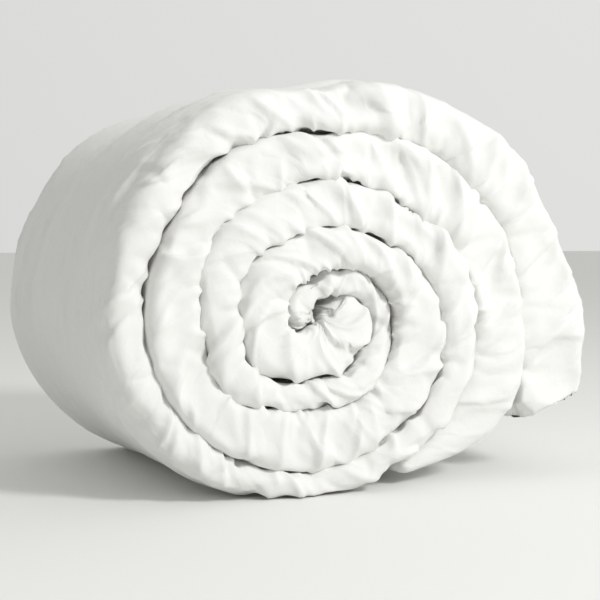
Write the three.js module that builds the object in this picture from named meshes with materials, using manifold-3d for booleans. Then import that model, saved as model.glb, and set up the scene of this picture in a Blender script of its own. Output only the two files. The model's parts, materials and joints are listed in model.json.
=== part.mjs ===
// A double duvet folded lengthwise into a wide strip and rolled up, lying on its side.
// Millimetres. +Z is up, +X is the side where the free end of the duvet hangs, and the roll's
// axis runs along Y, with the front folds at -Y and the single back fold at +Y.
// The origin is on the surface that the roll lies on, under the middle of its box.
import * as THREE from "three";
import { mergeVertices } from "three/addons/utils/BufferGeometryUtils.js";
import Module from "manifold-3d";

const wasm = await Module();
wasm.setup();

// Overall sizes of the roll
const ROLL_LENGTH = 500;      // along the axis: a quarter of the duvet's width
const START_RADIUS = 317;     // of the outermost turn where the winding starts
const PITCH = 113;            // radius lost in one full turn: two folds thick
const OVAL = 10;              // the roll is wider than it is tall
const SAG = 8;                // its weight pulls every turn down by this much
const SETTLE = 8;             // how far the underside is pressed flat
const CORE_RADIUS = 55;       // where the outer fold's inner end stops winding
const HOLLOW_RADIUS = 10;     // small hollow left in the middle of the roll
const CORE_CLOSING = 90;      // degrees over which the inner fold closes in on it
const CORE_FROM = 240;        // degrees before its inner end where the outer fold tightens
const CORE_TO = 120;
const INNER_SHORTER = 45;     // degrees by which the inner fold ends sooner than the outer one
const BACK_SHORTER = 30;      // and the back fold sooner than that

// The folds
const FOLD_THICKNESS = 47;    // outer fold, between neighbours
const WEIGHT_THINNING = 11;   // thinner under the weight, fuller above
const CORE_THICKNESS = 34;    // the outer fold's first turn is wound tight
const TAIL_LOFT = 54;         // how far the loose free end stands away from the roll
const TAIL_SWELL = 57;        // how much thicker it is, with no turn outside it
const TUCK_THICKNESS = 24;    // the inner fold's free end, pressed under the roll
const LEAST_THICKNESS = 20;   // of the inner fold at its inner end
const RIM_ROUNDING = 8;       // rounding of every fold's edge
const END_ROOM = 1.5;         // roundings from an end that are free of other points
const BACK_FOLD_DEPTH = 60;   // how deep the one big fold at the back is

// The make-up of one fold, from the outside in
const COVER_THICKNESS = 2;    // cotton shell
const LINING_THICKNESS = 3;   // the shell's other side, lying double inside the fold
const LINING_SETBACK = 45;    // from the rim of a fold to the lining inside it
const LINING_MARGIN = 14;     // from the end of a fold to the end of its lining
const HEM_WIDTH = 14;         // flat sewn edge across the duvet's free end
const HEM_THICKNESS = 5;
const HEM_SETBACK = 16;       // from the front and back of the roll to the ends of the hem
const CLEARANCE = 0.5;        // between pieces that lie against each other
const FOLD_GAP = 1;           // between one turn and the next
const END_INSET_SHARE = 1.3;  // slanted ends need more than the square ones
const STRAIGHT = 0.01;        // a turn smaller than this many square millimetres is none

// Angles in degrees, anticlockwise from +X seen from the front; one turn is 360
const STEP = 15;
const LIFT_ANGLE = 45;        // the free end bends away from the roll here
const TIP_ANGLE = 15;         // and here again, nearer its end
const TAIL_OUTER_END = -14;   // the free end is cut off nearly level
const TAIL_INNER_END = -28;
const TUCK_END = -60;         // the inner fold's free end, under the roll: a whole number of steps
const TUCK_START = -18;       // where it starts to thin

const clamp = THREE.MathUtils.clamp;
const smoothstep = THREE.MathUtils.smoothstep;
const sine = (deg) => Math.sin(THREE.MathUtils.degToRad(deg));
const cosine = (deg) => Math.cos(THREE.MathUtils.degToRad(deg));

// Outer side of the outer fold: a spiral, made oval, sagging, with a loose free end
function outerRadius(deg) {
  const loose = Math.max(0, (90 - deg) / 90);
  return START_RADIUS - PITCH * deg / 360 + OVAL * cosine(2 * deg) + SAG * sine(deg) + TAIL_LOFT * loose;
}

// Where the outer fold meets the inner fold
function seamRadius(deg) {
  const loose = clamp((90 - deg) / 90, 0, 1);
  const wound = FOLD_THICKNESS + WEIGHT_THINNING * sine(deg);
  const tight = smoothstep(deg, outerFoldEnd - CORE_FROM, outerFoldEnd - CORE_TO);
  const thickness = THREE.MathUtils.lerp(wound, CORE_THICKNESS, tight);
  return outerRadius(deg) - thickness - TAIL_SWELL * loose * loose;
}

const nearestStep = (deg) => STEP * Math.round(deg / STEP);
const outerFoldEnd = nearestStep(360 * (START_RADIUS - CORE_RADIUS) / PITCH);
const centreHeight = outerRadius(270) - SETTLE;

// Inner side of the inner fold: the next turn of the outer fold, then the hollow core
function innerRadius(deg) {
  const lastCovered = outerFoldEnd - 360;
  if (deg <= lastCovered) return outerRadius(deg + 360) + FOLD_GAP;
  const closing = smoothstep(deg, lastCovered, lastCovered + CORE_CLOSING);
  return THREE.MathUtils.lerp(outerRadius(outerFoldEnd) + FOLD_GAP, HOLLOW_RADIUS, closing);
}

// Outer side of the inner fold, thinning to the end that is tucked under the roll
function tuckedRadius(deg) {
  const thinning = smoothstep(-deg, -TUCK_START, -TUCK_END);
  const full = seamRadius(deg) - FOLD_GAP;
  return THREE.MathUtils.lerp(full, innerRadius(deg) + TUCK_THICKNESS, thinning);
}

// The inner fold ends sooner than the outer one, where it is still thick enough for its rims
let innerFoldEnd = outerFoldEnd - INNER_SHORTER;
while (tuckedRadius(innerFoldEnd) - innerRadius(innerFoldEnd) < LEAST_THICKNESS) innerFoldEnd -= STEP;

// The folds, and the parts of the outer fold that bend away, as spans of the winding
const gapAngle = (deg) => THREE.MathUtils.radToDeg(CLEARANCE / outerRadius(deg));
const spans = {
  roll: { outer: outerRadius, inner: seamRadius, outerStart: LIFT_ANGLE, innerStart: LIFT_ANGLE,
    end: outerFoldEnd },
  tuck: { outer: tuckedRadius, inner: innerRadius, outerStart: TUCK_END, innerStart: TUCK_END,
    end: innerFoldEnd },
  tail: { outer: outerRadius, inner: seamRadius, outerStart: TIP_ANGLE, innerStart: TIP_ANGLE,
    end: LIFT_ANGLE - gapAngle(LIFT_ANGLE) },
  tip: { outer: outerRadius, inner: seamRadius, outerStart: TAIL_OUTER_END,
    innerStart: TAIL_INNER_END, end: TIP_ANGLE - gapAngle(TIP_ANGLE) },
};
// The back fold goes round both folds at once
spans.back = { outer: outerRadius, inner: innerRadius, outerStart: LIFT_ANGLE,
  innerStart: LIFT_ANGLE, end: innerFoldEnd - BACK_SHORTER };

// The same radius, or as much of it as there is above the surface that the roll lies on
function grounded(radius, deg, inset) {
  const deepest = centreHeight - inset;
  const depth = -radius * sine(deg);
  return depth > deepest ? radius * deepest / depth : radius;
}

// Clear of other points near an end, so that shapes with different insets keep the same ones
const endRoom = END_ROOM * RIM_ROUNDING + END_INSET_SHARE * (COVER_THICKNESS + CLEARANCE);

// Points of one side of a span, on common angles so that neighbours' facets stay parallel
function sidePoints(radius, start, end, inset, room = endRoom) {
  const endInset = END_INSET_SHARE * Math.abs(inset);
  const from = start + THREE.MathUtils.radToDeg(endInset / radius(start));
  const to = end - THREE.MathUtils.radToDeg(endInset / radius(end));
  const firstKept = start + THREE.MathUtils.radToDeg(room / radius(start));
  const lastKept = end - THREE.MathUtils.radToDeg(room / radius(end));
  const angles = [from];
  for (let deg = STEP * Math.ceil(firstKept / STEP); deg < lastKept; deg += STEP) angles.push(deg);
  angles.push(to);
  return angles.map((deg) => {
    const r = grounded(radius(deg) - inset, deg, Math.abs(inset));
    return new THREE.Vector2(r * cosine(deg), r * sine(deg));
  });
}

// A point between two others on one straight line, such as the pressed underside, is left out
function isCorner(point, index, points) {
  const before = points.at(index - 1);
  const after = points[(index + 1) % points.length];
  const turn = point.clone().sub(before).cross(after.clone().sub(point));
  return Math.abs(turn) > STRAIGHT;
}

function foldShape(span, inset) {
  const outside = sidePoints(span.outer, span.outerStart, span.end, inset, span.room);
  const inside = sidePoints(span.inner, span.innerStart, span.end, -inset, span.room);
  return new THREE.Shape([...outside, ...inside.reverse()].filter(isCorner));
}

// A padded fold with rounded rims, drawn in (x, height) and running from back to front
function foldGeometry(span, inset, back, front) {
  const rounding = RIM_ROUNDING - inset / 2;
  const geometry = new THREE.ExtrudeGeometry(foldShape(span, inset), {
    depth: front - back - 2 * rounding, bevelThickness: rounding,
    bevelSize: rounding, bevelOffset: -rounding, bevelSegments: 1,
  });
  return geometry.translate(0, centreHeight, back + rounding);
}

// A thin sheet along the middle of a fold
function sheetGeometry(span, thickness, margin, back, front) {
  const middle = (deg) => (grounded(span.outer(deg), deg, 0) + span.inner(deg)) / 2;
  const start = span.outerStart + THREE.MathUtils.radToDeg(margin / middle(span.outerStart));
  const sheet = {
    outer: (deg) => middle(deg) + thickness / 2, inner: (deg) => middle(deg) - thickness / 2,
    outerStart: start, innerStart: start,
    end: span.end - THREE.MathUtils.radToDeg(margin / middle(span.end)),
    room: endRoom + LINING_MARGIN - margin,
  };
  const geometry = new THREE.ExtrudeGeometry(foldShape(sheet, 0), {
    depth: front - back, bevelEnabled: false,
  });
  return geometry.translate(0, centreHeight, back);
}

function toSolid(geometry) {
  const bare = geometry.clone();
  bare.deleteAttribute("normal");
  bare.deleteAttribute("uv");
  const merged = mergeVertices(bare, 1e-4);
  return new wasm.Manifold(new wasm.Mesh({
    numProp: 3,
    vertProperties: new Float32Array(merged.attributes.position.array),
    triVerts: new Uint32Array(merged.index.array),
  }));
}

function toGeometry(solid) {
  const mesh = solid.getMesh();
  const geometry = new THREE.BufferGeometry();
  geometry.setAttribute("position", new THREE.BufferAttribute(mesh.vertProperties, 3));
  geometry.setIndex(new THREE.BufferAttribute(mesh.triVerts, 1));
  geometry.computeVertexNormals();
  return geometry;
}

const cut = (whole, hole) => toGeometry(toSolid(whole).subtract(toSolid(hole)));

const FINISHES = {
  cotton: { color: 0xf3f3f1, roughness: 0.9, metalness: 0 },
  wadding: { color: 0xfbfbf8, roughness: 1, metalness: 0 },
  lining: { color: 0xeeeeec, roughness: 0.9, metalness: 0 },
  hem: { color: 0xe9e9e6, roughness: 0.85, metalness: 0 },
};

const duvet = new THREE.Group();
duvet.rotation.x = Math.PI / 2;   // drawn height becomes Z, and the front end faces -Y

function addPiece(name, finish, geometry) {
  const piece = new THREE.Mesh(geometry, new THREE.MeshStandardMaterial(FINISHES[finish]));
  piece.name = name;
  duvet.add(piece);
}

const front = ROLL_LENGTH / 2;
const backOfFolds = -ROLL_LENGTH / 2 + BACK_FOLD_DEPTH;
const beyond = 50;   // cuts run this far past the open end of a shell

// The three pieces of one fold: a cotton shell open at the back, wadding, and the lining
function addFold(name, span, back) {
  const cavityInset = COVER_THICKNESS;
  const fillInset = COVER_THICKNESS + CLEARANCE;
  const shell = foldGeometry(span, 0, back, front);
  const cavity = foldGeometry(span, cavityInset, back - beyond, front - cavityInset);
  addPiece(`${name}_cover`, "cotton", cut(shell, cavity));
  const filling = foldGeometry(span, fillInset, back + CLEARANCE, front - fillInset);
  const slot = sheetGeometry(span, LINING_THICKNESS + 2 * FOLD_GAP, LINING_MARGIN - CLEARANCE,
    back - beyond, front - LINING_SETBACK + CLEARANCE);
  addPiece(`${name}_filling`, "wadding", cut(filling, slot));
  addPiece(`${name}_lining`, "lining",
    sheetGeometry(span, LINING_THICKNESS, LINING_MARGIN, back + CLEARANCE, front - LINING_SETBACK));
}

addFold("outer_fold", spans.roll, backOfFolds);
addFold("inner_fold", spans.tuck, backOfFolds);
addFold("tail", spans.tail, -ROLL_LENGTH / 2);
addFold("tail_tip", spans.tip, -ROLL_LENGTH / 2);

// The big back fold: its shell opens towards the front, over the ends of both folds
const foldBack = -ROLL_LENGTH / 2;
const backShell = foldGeometry(spans.back, 0, foldBack, backOfFolds - FOLD_GAP);
const backCavity = foldGeometry(spans.back, COVER_THICKNESS, foldBack + COVER_THICKNESS,
  backOfFolds + beyond);
addPiece("back_fold_cover", "cotton", cut(backShell, backCavity));
addPiece("back_fold_filling", "wadding", foldGeometry(spans.back,
  COVER_THICKNESS + CLEARANCE, foldBack + COVER_THICKNESS + CLEARANCE,
  backOfFolds - FOLD_GAP - CLEARANCE));

// The sewn edge across the duvet's free end, hanging below the tip
const tipMiddle = (outerRadius(TAIL_OUTER_END) + seamRadius(TAIL_INNER_END)) / 2;
const hemAngle = (TAIL_OUTER_END + TAIL_INNER_END) / 2;
const hem = new THREE.BoxGeometry(HEM_THICKNESS, HEM_WIDTH, ROLL_LENGTH - 2 * HEM_SETBACK);
hem.translate(tipMiddle * cosine(hemAngle),
  centreHeight + tipMiddle * sine(hemAngle) - HEM_WIDTH / 2 - CLEARANCE, 0);
addPiece("tail_hem", "hem", hem);

// The origin goes under the middle of the box, which the loose free end moves off the roll's axis
const extent = new THREE.Box3().setFromObject(duvet);
duvet.position.x = -(extent.min.x + extent.max.x) / 2;

export default duvet;
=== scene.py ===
# %% [markdown]
# # A rolled duvet
# This duvet is one sewn cotton bag with soft filling. It has been folded lengthwise into a strip four
# layers thick, then rolled up and laid on its side. The front end of the roll shows two puffy folds side
# by side, winding inwards together; the far end shows one big fold that goes round both.
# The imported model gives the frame: where the roll lies, and the two lines where its free end can bend.

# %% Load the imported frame
import json
import math

import bpy
import bmesh
import numpy as np
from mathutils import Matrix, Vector


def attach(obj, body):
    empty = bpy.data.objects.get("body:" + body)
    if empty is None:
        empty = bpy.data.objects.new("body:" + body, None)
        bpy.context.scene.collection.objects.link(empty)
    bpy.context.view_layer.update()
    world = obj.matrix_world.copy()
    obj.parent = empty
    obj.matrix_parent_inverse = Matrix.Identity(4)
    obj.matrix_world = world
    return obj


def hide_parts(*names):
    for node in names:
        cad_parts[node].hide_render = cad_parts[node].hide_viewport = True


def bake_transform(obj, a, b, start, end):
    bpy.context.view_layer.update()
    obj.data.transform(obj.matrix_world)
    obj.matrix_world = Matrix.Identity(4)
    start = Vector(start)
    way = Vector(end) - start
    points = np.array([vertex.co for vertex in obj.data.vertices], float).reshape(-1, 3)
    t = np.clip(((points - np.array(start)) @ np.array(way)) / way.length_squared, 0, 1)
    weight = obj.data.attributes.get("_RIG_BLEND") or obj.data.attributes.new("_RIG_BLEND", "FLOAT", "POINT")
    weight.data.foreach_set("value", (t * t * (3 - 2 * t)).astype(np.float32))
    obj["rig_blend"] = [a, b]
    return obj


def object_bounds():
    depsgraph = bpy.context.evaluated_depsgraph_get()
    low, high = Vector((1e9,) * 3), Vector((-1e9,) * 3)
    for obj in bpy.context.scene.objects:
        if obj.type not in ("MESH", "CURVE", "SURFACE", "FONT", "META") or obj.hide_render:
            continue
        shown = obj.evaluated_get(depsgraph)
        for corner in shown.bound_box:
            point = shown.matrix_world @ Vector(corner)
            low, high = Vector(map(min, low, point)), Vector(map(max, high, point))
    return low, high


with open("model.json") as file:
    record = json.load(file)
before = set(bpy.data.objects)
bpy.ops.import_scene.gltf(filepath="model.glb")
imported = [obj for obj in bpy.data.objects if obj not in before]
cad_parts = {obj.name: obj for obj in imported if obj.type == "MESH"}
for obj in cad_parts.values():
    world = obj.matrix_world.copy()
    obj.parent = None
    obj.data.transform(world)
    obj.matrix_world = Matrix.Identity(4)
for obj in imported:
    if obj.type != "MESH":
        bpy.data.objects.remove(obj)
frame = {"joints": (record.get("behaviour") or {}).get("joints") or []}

cad_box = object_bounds()
mm = 0.001
print("CAD box", [round(side, 3) for side in (*cad_box[0], *cad_box[1])])

# %% [markdown]
# ## The winding
# A roll is a spiral: every full turn it comes inwards by the thickness of the two folds. Its weight makes
# it a little oval and lets it sag. These are the same few sizes that the frame was drawn from, so the
# cloth lies where the frame's solids are. The middle of the spiral is found from the hinge line of the
# free end, which lies on the outer side of the outer fold.

# %% Sizes of the winding
START_RADIUS = 317 * mm
PITCH = 113 * mm
OVAL = 10 * mm
SAG = 8 * mm
FOLD_THICKNESS = 47 * mm
WEIGHT_THINNING = 11 * mm
CORE_THICKNESS = 34 * mm
TAIL_LOFT = 54 * mm
TAIL_SWELL = 57 * mm
TUCK_THICKNESS = 24 * mm
HOLLOW_RADIUS = 4 * mm
CORE_CLOSING = 72
LIFT_ANGLE = 45
TAIL_END = -21
TUCK_START = -18
TUCK_END = -60
OUTER_FOLD_END = 894
CORE_FILL = 30           # the cloth's end puffs this much further into the core
INNER_FOLD_END = 795
FRONT = cad_box[0].y
BACK = cad_box[1].y

# Where the cloth bulges more or less than a true spiral: (angle, spread, amount)
SWELLS = [(120, 22, 12 * mm), (405, 26, -9 * mm), (505, 22, 9 * mm), (572, 16, 11 * mm),
          (655, 18, 9 * mm), (300, 20, -4 * mm), (-8, 24, 17 * mm)]
print("the roll makes", round(OUTER_FOLD_END / 360, 2), "turns,", round(PITCH / mm), "mm apart")


# %% Radii of the winding
def smooth(value, low, high):
    """0 below low, 1 above high, and an even ramp between."""
    share = np.clip((value - low) / (high - low), 0, 1)
    return share * share * (3 - 2 * share)


def lerp(a, b, share):
    return a + (b - a) * share


def outer_radius(deg):
    loose = np.maximum(0, (90 - deg) / 90)
    radius = START_RADIUS - PITCH * deg / 360 + TAIL_LOFT * loose
    radius = radius + OVAL * np.cos(np.radians(2 * deg)) + SAG * np.sin(np.radians(deg))
    for angle, spread, amount in SWELLS:
        radius = radius + amount * np.exp(-((deg - angle) / spread) ** 2)
    return radius


def seam_radius(deg):
    loose = np.clip((90 - deg) / 90, 0, 1)
    wound = FOLD_THICKNESS + WEIGHT_THINNING * np.sin(np.radians(deg))
    thickness = lerp(wound, CORE_THICKNESS, smooth(deg, 600, 720))
    return outer_radius(deg) - thickness - TAIL_SWELL * loose ** 2


def inner_radius(deg):
    last_covered = OUTER_FOLD_END - 360
    closing = smooth(deg, last_covered, last_covered + CORE_CLOSING)
    free = lerp(outer_radius(np.array(OUTER_FOLD_END)), HOLLOW_RADIUS, closing)
    return np.where(deg <= last_covered, outer_radius(deg + 360), free)


def tucked_radius(deg):
    thinning = smooth(-deg, -TUCK_START, -TUCK_END)
    return lerp(seam_radius(deg), inner_radius(deg) + TUCK_THICKNESS, thinning)


def outer_middle(deg):
    return (outer_radius(deg) + seam_radius(deg)) / 2


def inner_middle(deg):
    return (tucked_radius(deg) + inner_radius(deg)) / 2


lift = next(joint for joint in frame["joints"] if joint["name"] == "tail_lift")
lift_radius = outer_radius(np.array(LIFT_ANGLE))
CENTRE_X = lift["pos_m"][0] - lift_radius * math.cos(math.radians(LIFT_ANGLE))
CENTRE_Z = lift["pos_m"][2] - lift_radius * math.sin(math.radians(LIFT_ANGLE))
print("middle of the spiral", round(CENTRE_X, 4), round(CENTRE_Z, 4))

# %% [markdown]
# ## The profile of a fold
# Cut across, a fold is a long slab with rounded rims. A superellipse gives a rim that is fuller than a
# half circle, as a stuffed edge is. One list of points goes once round the slab: the front rim, the
# outer face, the back rim, and the inner face. It is drawn finely where it shows and coarsely where the
# next turn hides it.

# %% Points round the profile
RIM_POWER = 2 / 2.7
FINE = 5.5 * mm
RIM_LENGTH = 45 * mm   # of cloth round half a rim
HOOK_STEP = 8 * mm     # the hook ends in a step this deep
BACK_POINTS = 9        # round half a back rim
BACK_FLAT = 20 * mm    # left flat behind the inner face
FACE_LENGTH = 0.36     # of the faces between the two rims
SHOWN = 90 * mm        # deeper than this between two turns nothing can be seen


def quarter(count):
    """Sideways and inward shares of a rim, from its front tip to its side."""
    angles = np.radians(np.linspace(90, 0, count))
    return np.cos(angles) ** RIM_POWER, 1 - np.sin(angles) ** RIM_POWER


def stops(start, end, step):
    """Even stops strictly between two places."""
    count = max(2, int(round(abs(end - start) / step)))
    return np.linspace(start, end, count + 1)[1:-1]


print("points every", round(FINE / mm, 1), "mm where the cloth shows")


# %% Profile
def profile(rim_out, rim_in, rim_back, hook_length, face_step):
    """Points once round the fold: what the inner side is measured from, which side of the fold it is
    (1 outer, -1 inner, between on rims), its share of the way from front to back, and how far those
    two places are inside the fold's front and back."""
    points = []
    count = max(7, int(round(RIM_LENGTH / FINE)))
    side, inward = quarter(count)
    for k in range(count):
        points.append(("fold", side[k], 0, rim_out * inward[k], 0))
    for place in stops(rim_out, SHOWN, FINE):
        points.append(("fold", 1, 0, place, 0))
    for share in np.linspace(0, 1, int(round(FACE_LENGTH / face_step)) + 1)[:-1]:
        points.append(("fold", 1, share, SHOWN, rim_back))
    side, inward = quarter(BACK_POINTS)
    for k in range(BACK_POINTS - 1, -1, -1):
        points.append(("hook", side[k], 1, 0, rim_back * inward[k]))
    for k in range(1, BACK_POINTS):
        points.append(("hook", -side[k], 1, 0, rim_back * inward[k]))
    start = rim_back + BACK_FLAT
    if hook_length:
        points.append(("hook", -1, 1, 0, hook_length - HOOK_STEP))
        points.append(("step", 0, 1, 0, hook_length))
        start = hook_length + HOOK_STEP
    for share in np.linspace(0, 1, 8)[:-1]:
        points.append(("fold", -1, 1 - share, SHOWN, start))
    for place in stops(SHOWN, rim_in, FINE):
        points.append(("fold", -1, 0, place, 0))
    side, inward = quarter(count)
    for k in range(count - 1, 0, -1):
        points.append(("fold", -side[k], 0, rim_in * inward[k], 0))
    return points


# %% [markdown]
# ## The grid of a fold
# The profile is repeated along the winding, one row every few millimetres of cloth. Each row knows its
# angle, so the grid can say where the fold thins out, leans back or ends. At both ends the slab is
# pinched to a thin sewn edge. The same rows are also laid out flat and straight: that is how the cloth
# was before it was rolled, and the simulation below needs it.

# %% Rows along the winding
EDGE = 3 * mm          # a sewn edge is this thin
SPACING = 6 * mm
MOST_TURN = 3.0        # degrees between two rows
END_ROUNDING = 2.7     # how full the rounded ends are
END_POWER = 2.2
PRESSED = 3 * mm       # how gently the underside turns onto the surface


def winding_rows(start, end, radius_out, radius_in):
    """Angles so that the rows are evenly spaced on the middle of the fold."""
    rows = [start]
    while rows[-1] < end:
        middle = float(radius_out(np.array(rows[-1])) + radius_in(np.array(rows[-1]))) / 2
        rows.append(rows[-1] + min(MOST_TURN, math.degrees(SPACING / middle)))
    rows = np.array(rows)
    return start + (rows - start) * (end - start) / (rows[-1] - start)


def end_shape(deg, radius, start, end, round_start, round_end):
    """1 along the fold, falling in a rounded way to 0 at its two ends."""
    from_start = np.radians(deg - start) * radius / round_start
    from_end = np.radians(end - deg) * radius / round_end
    share = np.clip(np.minimum(from_start, from_end), 0, 1)
    return (1 - (1 - share) ** END_ROUNDING) ** (1 / END_POWER)


def to_place(deg, radius, y):
    """A point of the winding in the frame. What would go below the surface is pressed flat on it."""
    x = CENTRE_X + radius * np.cos(np.radians(deg))
    z = CENTRE_Z + radius * np.sin(np.radians(deg))
    z = (z + np.sqrt(z * z + PRESSED * PRESSED)) / 2
    return np.stack([x, y, z], axis=-1)


# %% Where the points of a fold lie
END_CORNER = 22 * mm   # the corners of the two ends are rounded by this much
OUTER_FACE = 12        # a point of the profile on the outer face, where the cloth's length is measured


def fold_facts(deg, points, radii, front, back, depth_share, slant, shape):
    """Where each point of a fold lies, and facts about it that later steps need."""
    rows = len(deg)
    kinds = np.array([point[0] for point in points])[None, :]
    side, share, in_front, in_back = (np.array([point[k] for point in points], float)[None, :]
                                      for k in (1, 2, 3, 4))
    angle = deg[:, None] + slant[:, None] * side
    outer, inner, hook = (radius(angle) for radius in radii)
    low = np.select([kinds == "hook", kinds == "step"], [hook, (hook + inner) / 2], inner)
    middle, half = (outer + low) / 2, (outer - low) / 2
    half = EDGE / 2 + (half - EDGE / 2) * shape[:, None]
    radius = middle + half * side
    rim = (share == 0) & (side > 0)
    deep = in_front * np.where(rim, depth_share[:, None] ** (1 - in_front / SHOWN), 1)
    corner = END_CORNER * (1 - shape[:, None]) ** 2
    y = lerp(front[:, None] + deep + corner, back[:, None] - in_back - corner, share)
    return {"rows": rows, "columns": len(points), "angle": angle, "side": np.repeat(side, rows, 0),
            "depth": y - front[:, None], "radius": radius, "middle": middle,
            "place": to_place(angle, radius, y)}


# %% Mesh of a fold
def closed_mesh(name, facts):
    """Joins the points into a closed skin, with a face at each end."""
    rows, columns = facts["rows"], facts["columns"]
    faces = []
    for i in range(rows - 1):
        for j in range(columns):
            k = (j + 1) % columns
            faces.append((i * columns + j, (i + 1) * columns + j, (i + 1) * columns + k, i * columns + k))
    faces.append(tuple(range(columns)))
    faces.append(tuple((rows - 1) * columns + j for j in reversed(range(columns))))
    mesh = bpy.data.meshes.new(name)
    mesh.from_pydata(facts["place"].reshape(-1, 3).tolist(), [], faces)
    return mesh


# %% Weave over the cloth
def lengths(line):
    """Distances along a line of points, from its first."""
    return np.concatenate([[0], np.cumsum(np.linalg.norm(np.diff(line, axis=0), axis=1))])


def lay_weave(mesh, facts, around, girth):
    """Lays the weave over the cloth in metres, with its seam at the back."""
    rows, columns = facts["rows"], facts["columns"]
    along = lengths(facts["place"][:, OUTER_FACE])
    vertex = np.zeros(len(mesh.loops), int)
    mesh.loops.foreach_get("vertex_index", vertex)
    row, column = vertex // columns, vertex % columns
    strip = np.minimum(np.arange(len(vertex)) // 4, (rows - 1) * columns - 1) % columns
    wrapped = (strip == columns - 1) & (column == 0)
    uv = np.zeros((len(mesh.loops), 2))
    uv[:, 0] = along[row]
    uv[:, 1] = around[column] + girth * wrapped - girth * (around[strip] >= girth / 2)
    mesh.uv_layers.new(name="weave").data.foreach_set("uv", uv.ravel())


# %% Build a fold
def build_grid(name, deg, points, *shaping):
    """Makes the closed mesh of a fold, marked with places on the cloth, and returns it with its facts."""
    facts = fold_facts(deg, points, *shaping)
    rows, columns, third = facts["rows"], facts["columns"], facts["place"][facts["rows"] // 3]
    around = lengths(third)
    girth = around[-1] + np.linalg.norm(third[-1] - third[0])
    mesh = closed_mesh(name, facts)
    lay_weave(mesh, facts, around, girth)
    back_tip = next(k for k, point in enumerate(points) if point[0] == "hook" and abs(point[1]) < 1e-6)
    from_front = np.where(around < girth / 2, around, around - girth)
    from_back = around - around[back_tip]
    marks = {"turn": np.repeat(deg, columns), "from_front": np.tile(from_front, rows),
             "from_back": np.tile(from_back, rows), "from_back_outward": np.tile(-from_back, rows)}
    for mark, values in marks.items():
        mesh.attributes.new(mark, "FLOAT", "POINT").data.foreach_set("value", values.astype(np.float32))
    piece = bpy.data.objects.new(name, mesh)
    bpy.context.collection.objects.link(piece)
    print(name, rows, "rows of", columns, "points")
    return piece, facts


# %% [markdown]
# ## The outer fold, with the free end
# The outer fold runs from the sewn end of the duvet, which hangs free at the right, round to the core.
# At the far end of the roll it turns over the inner fold and comes back inside it, so its profile there
# is a hook. Near the free end the hook opens out and the fold is a plain slab again.

# %% Outer fold
RIM_OUT = 34 * mm
RIM_IN = 24 * mm
BACK_RIM = 42 * mm
HOOK_DEPTH = 88 * mm
HOOK_FROM, HOOK_TO = 64, 104
TAIL_SETBACK, CORE_SETBACK, LEFT_SETBACK = 12 * mm, 16 * mm, 12 * mm
CORE_SHORTER = 14 * mm
TAIL_LEAN = 4          # degrees that the free end's outer side runs on past its inner side


def outer_hook_radius(deg):
    closed = smooth(deg, HOOK_FROM, HOOK_TO)
    covered = inner_radius(np.minimum(deg, INNER_FOLD_END - 20))
    return lerp(seam_radius(deg), covered, closed)


outer_end = OUTER_FOLD_END + CORE_FILL
outer_deg = winding_rows(TAIL_END, outer_end, outer_radius, seam_radius)
outer_front = (FRONT + 4 * mm + TAIL_SETBACK * smooth(-outer_deg, -60, 10)
               + CORE_SETBACK * smooth(outer_deg, 640, 720)
               + LEFT_SETBACK * smooth(outer_deg, 120, 170) * smooth(-outer_deg, -290, -230))
outer_back = np.full(len(outer_deg), BACK - 4 * mm) - CORE_SHORTER * smooth(outer_deg, 420, 840)
outer_slant = TAIL_LEAN * smooth(-outer_deg, -15, -TAIL_END)
outer_shape = end_shape(outer_deg, outer_middle(outer_deg), TAIL_END, outer_end, 38 * mm, 30 * mm)
outer_points = profile(RIM_OUT, RIM_IN, BACK_RIM, HOOK_DEPTH, 14 * mm)
outer_depth_share = 1 + 0.5 * smooth(outer_deg, 110, 170) * smooth(-outer_deg, -300, -240)
outer_radii = (outer_radius, seam_radius, outer_hook_radius)
outer_fold, outer_facts = build_grid("outer_fold", outer_deg, outer_points, outer_radii, outer_front,
                                     outer_back, outer_depth_share, outer_slant, outer_shape)

# %% [markdown]
# ## The inner fold
# The inner fold lies against the outer fold all the way. Its free end is tucked under the roll, where
# the weight holds it, a little further back than the rest. Its back end sits inside the hook of the
# outer fold, and comes out to the full length where the hook opens.

# %% Inner fold
TUCK_SETBACK, INNER_CORE_SETBACK = 22 * mm, 14 * mm
inner_deg = winding_rows(TUCK_END, INNER_FOLD_END, tucked_radius, inner_radius)
inner_front = (FRONT + 2 * mm + TUCK_SETBACK * smooth(-inner_deg, -30, 50)
               + INNER_CORE_SETBACK * smooth(inner_deg, 620, 760))
inner_back = lerp(BACK - 10 * mm, BACK - HOOK_DEPTH - 14 * mm, smooth(inner_deg, 48, 92))
inner_shape = end_shape(inner_deg, inner_middle(inner_deg), TUCK_END, INNER_FOLD_END, 26 * mm, 24 * mm)
inner_points = profile(28 * mm, 26 * mm, 28 * mm, 0, 30 * mm)
inner_radii = (tucked_radius, inner_radius, inner_radius)
even, upright = np.ones(len(inner_deg)), np.zeros(len(inner_deg))
inner_fold, inner_facts = build_grid("inner_fold", inner_deg, inner_points, inner_radii, inner_front,
                                     inner_back, even, upright, inner_shape)

# %% [markdown]
# ## Where creases start
# When a straight padded strip is rolled, its inner side has more cloth than it has room for, and the
# spare cloth buckles into creases that fan out across each fold. They could be left to chance, but a
# smooth slab gives the cloth nothing to buckle about, so shallow dents are laid first, at uneven
# distances and mostly on the inner side.

# %% Dents where creases start
MOST_DENT = 20 * mm
PUSHED_ASIDE = 0.35    # of a dent's depth goes towards the fold's middle
INNER_SHARE = 0.65     # of the dents are on the inner side
DENT_REACH = 45 * mm


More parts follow.
